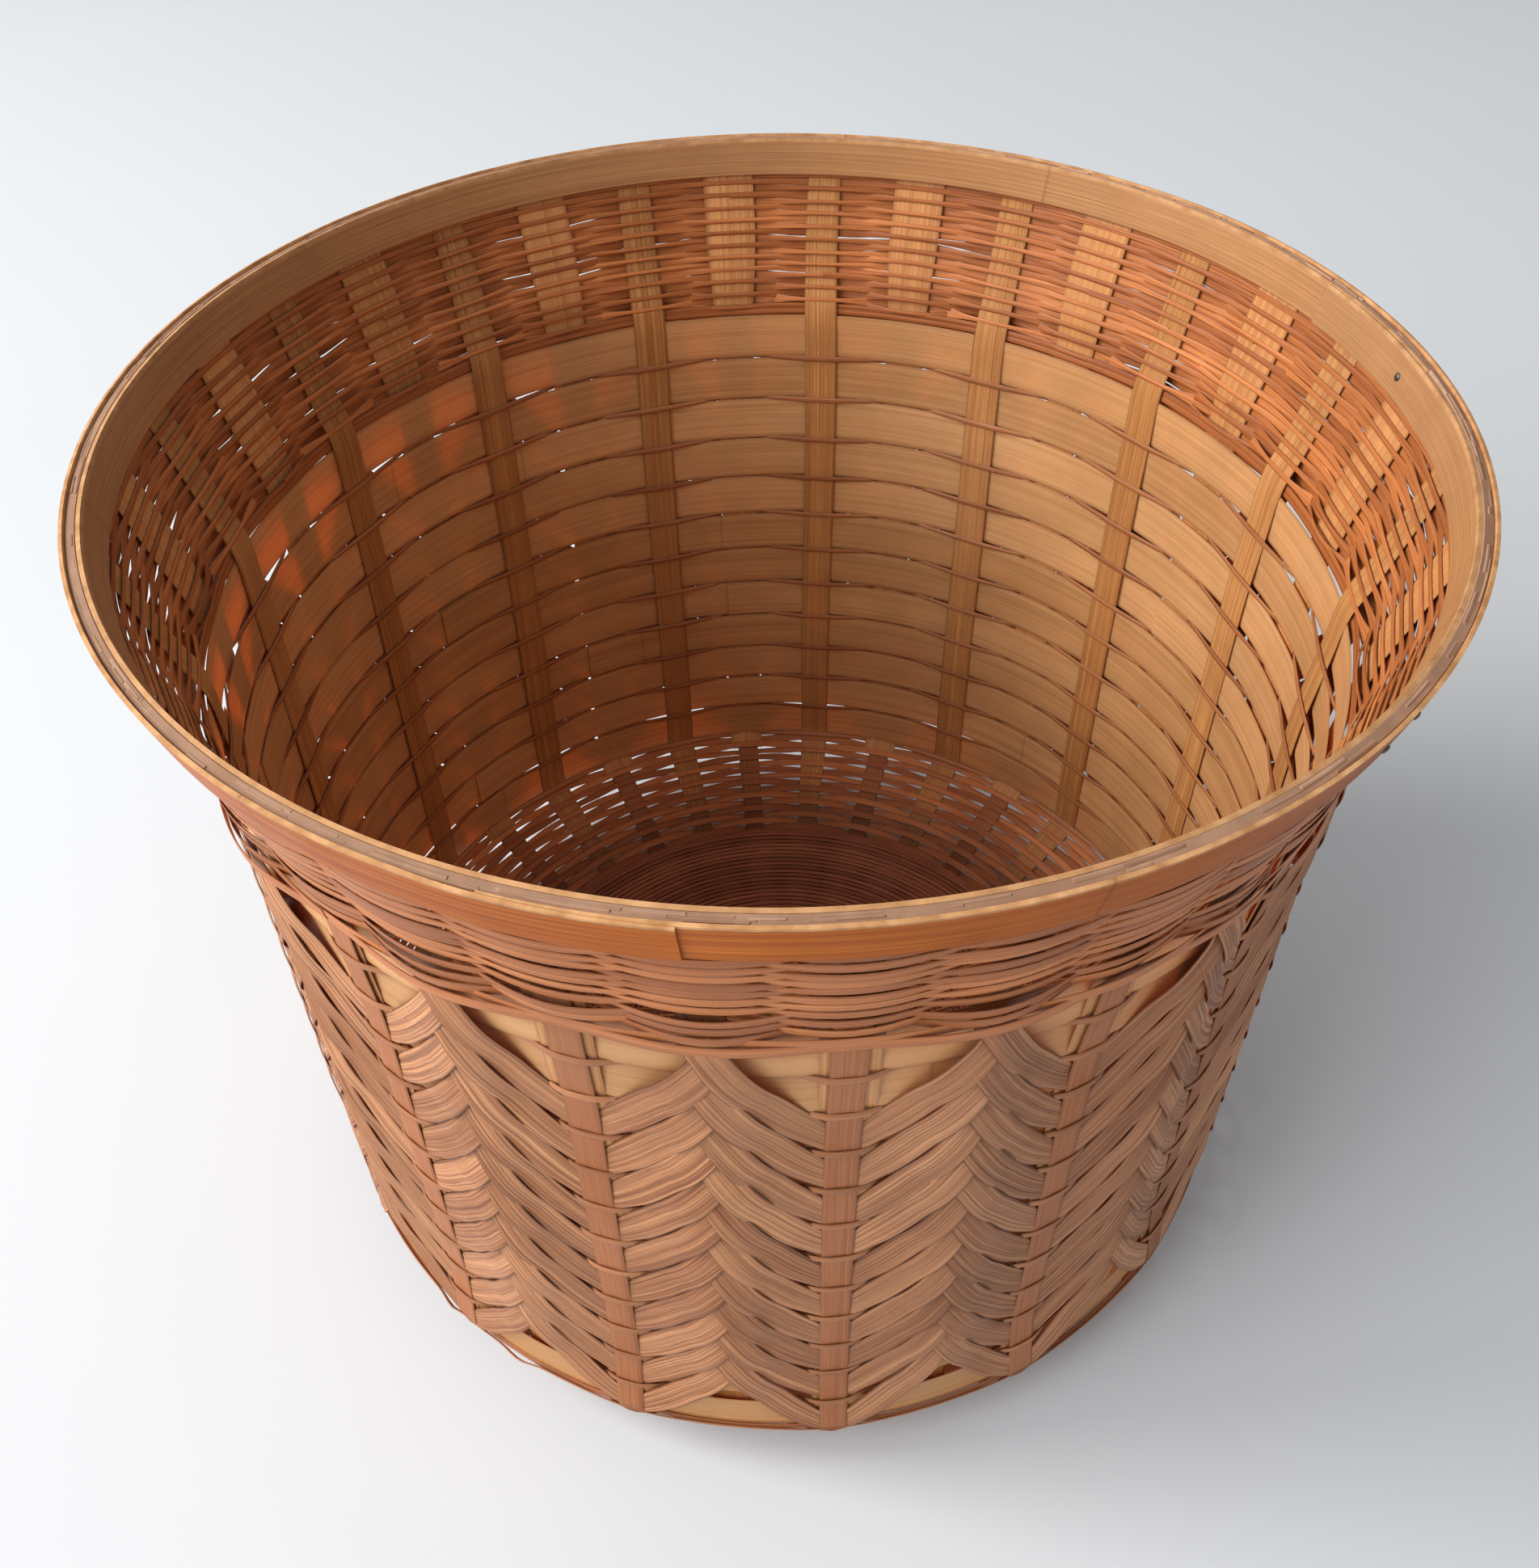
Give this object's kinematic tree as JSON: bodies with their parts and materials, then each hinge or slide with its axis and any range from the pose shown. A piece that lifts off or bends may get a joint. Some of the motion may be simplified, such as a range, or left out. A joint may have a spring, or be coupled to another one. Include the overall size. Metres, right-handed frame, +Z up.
{
  "type": "wicker cachepot",
  "caption": "Round split-bamboo basket with an open flared mouth, woven wall under zigzag splints, bent hoops at the rim and a raised round base, to hold a flower pot.",
  "frame": {"origin": "centre of the foot, on the surface that the basket stands on", "axes": "+Z up along the basket's axis, towards the mouth; -Y towards the front, where an outer stake stands"},
  "size_m": [0.36, 0.36, 0.286],
  "materials": {
    "inner_stake": "split bamboo, varnished, satin",
    "outer_stake": "split bamboo, varnished, pinkish brown",
    "wide_band": "split bamboo, varnished, golden",
    "narrow_weaver": "thin bamboo splint, satin",
    "zigzag": "scraped bamboo splint with fine grooves",
    "fine_weave": "fine bamboo weavers, varnished",
    "base_weave": "fine bamboo weavers, darkened",
    "border": "twisted bamboo splints",
    "outer_hoop": "bent bamboo hoop, glossy varnish",
    "inner_hoop": "bent bamboo hoop, satin",
    "filler": "cut splint ends, rough and grey-brown",
    "nail": "small steel nails, dull"
  },
  "bodies": {
    "root": {"inner_stake_01": "inner_stake", "inner_stake_02": "inner_stake", "inner_stake_03": "inner_stake", "inner_stake_04": "inner_stake", "inner_stake_05": "inner_stake", "inner_stake_06": "inner_stake", "inner_stake_07": "inner_stake", "inner_stake_08": "inner_stake", "outer_stake_01": "outer_stake", "outer_stake_02": "outer_stake", "outer_stake_03": "outer_stake", "outer_stake_04": "outer_stake", "outer_stake_05": "outer_stake", "outer_stake_06": "outer_stake", "outer_stake_07": "outer_stake", "outer_stake_08": "outer_stake", "wide_band_01": "wide_band", "wide_band_02": "wide_band", "wide_band_03": "wide_band", "wide_band_04": "wide_band", "wide_band_05": "wide_band", "wide_band_06": "wide_band", "wide_band_07": "wide_band", "wide_band_08": "wide_band", "wide_band_09": "wide_band", "wide_band_10": "wide_band", "wide_band_11": "wide_band", "wide_band_12": "wide_band", "narrow_weaver_01": "narrow_weaver", "narrow_weaver_02": "narrow_weaver", "narrow_weaver_03": "narrow_weaver", "narrow_weaver_04": "narrow_weaver", "narrow_weaver_05": "narrow_weaver", "narrow_weaver_06": "narrow_weaver", "narrow_weaver_07": "narrow_weaver", "narrow_weaver_08": "narrow_weaver", "narrow_weaver_09": "narrow_weaver", "narrow_weaver_10": "narrow_weaver", "narrow_weaver_11": "narrow_weaver", "zigzag_row_01": "zigzag", "zigzag_row_02": "zigzag", "zigzag_row_03": "zigzag", "zigzag_row_04": "zigzag", "zigzag_row_05": "zigzag", "zigzag_row_06": "zigzag", "zigzag_row_07": "zigzag", "zigzag_row_08": "zigzag", "zigzag_row_09": "zigzag", "zigzag_row_10": "zigzag", "flare_weave": "fine_weave", "lower_weave": "fine_weave", "base_weave": "base_weave", "foot_weaver": "base_weave", "border_cord": "border", "outer_hoop": "outer_hoop", "inner_hoop": "inner_hoop", "rim_filler": "filler", "hoop_nail_1": "nail", "hoop_nail_2": "nail", "hoop_nail_3": "nail"}
  },
  "joints": []
}
